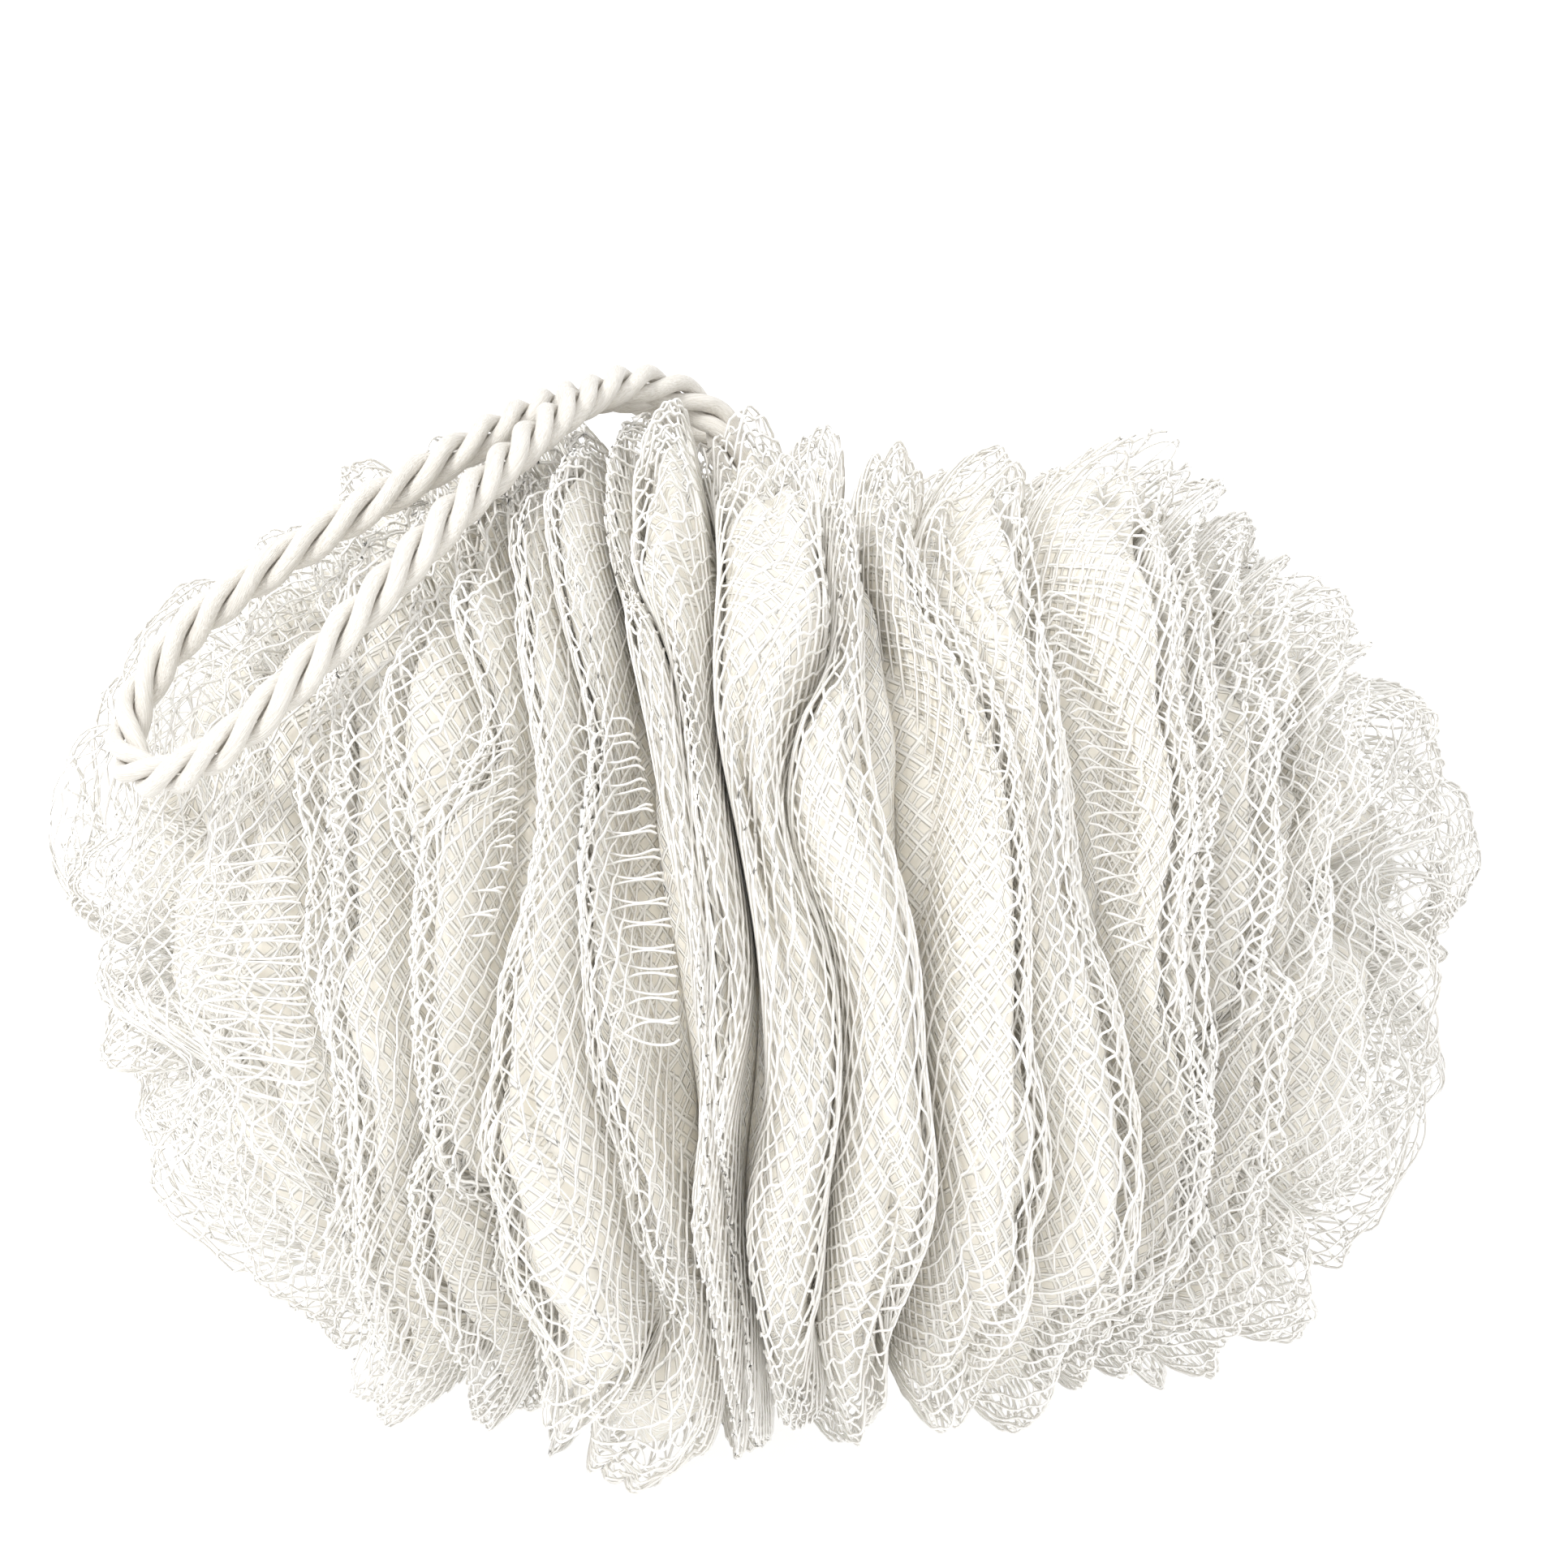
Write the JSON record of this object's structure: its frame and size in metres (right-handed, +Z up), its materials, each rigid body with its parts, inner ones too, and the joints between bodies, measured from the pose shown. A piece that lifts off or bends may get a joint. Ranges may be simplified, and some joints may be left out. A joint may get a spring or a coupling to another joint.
{
  "type": "mesh bath pouf",
  "caption": "Round shower puff of knitted mesh netting gathered and bound at its waist, with a twisted rope hanging loop that swings at the top.",
  "frame": {"origin": "middle of the base of the ruffles, on the surface the pouf rests on", "axes": "+Z up, +X along the waist axis about which the netting is gathered, -Y towards the side where the rope loop comes forward; the loop lies towards -X"},
  "size_m": [0.1483, 0.115, 0.1168],
  "materials": {
    "netting": "knitted polyethylene net, satin",
    "binding": "thin braided cord, matt",
    "rope": "three-strand twisted rope, silky"
  },
  "bodies": {
    "puff": {"net_length_1": "netting", "net_length_2": "netting", "net_length_3": "netting", "net_length_4": "netting", "net_length_5": "netting", "net_length_6": "netting", "binding_cord": "binding", "binding_knot": "binding", "binding_tail_a": "binding", "binding_tail_b": "binding", "rope_waist_turn": "rope", "rope_knot": "rope", "rope_run_a": "rope", "rope_run_b": "rope", "rope_tail_a": "rope", "rope_tail_b": "rope"},
    "loop": {"hanging_loop": "rope"}
  },
  "joints": [
    {"name": "loop_swing", "type": "hinge", "parent": "puff", "child": "loop", "pos_m": [-0.0063, 0.0279, 0.10435], "axis": [0, 0.8698, -0.4934], "range_deg": [0, 122]}
  ]
}
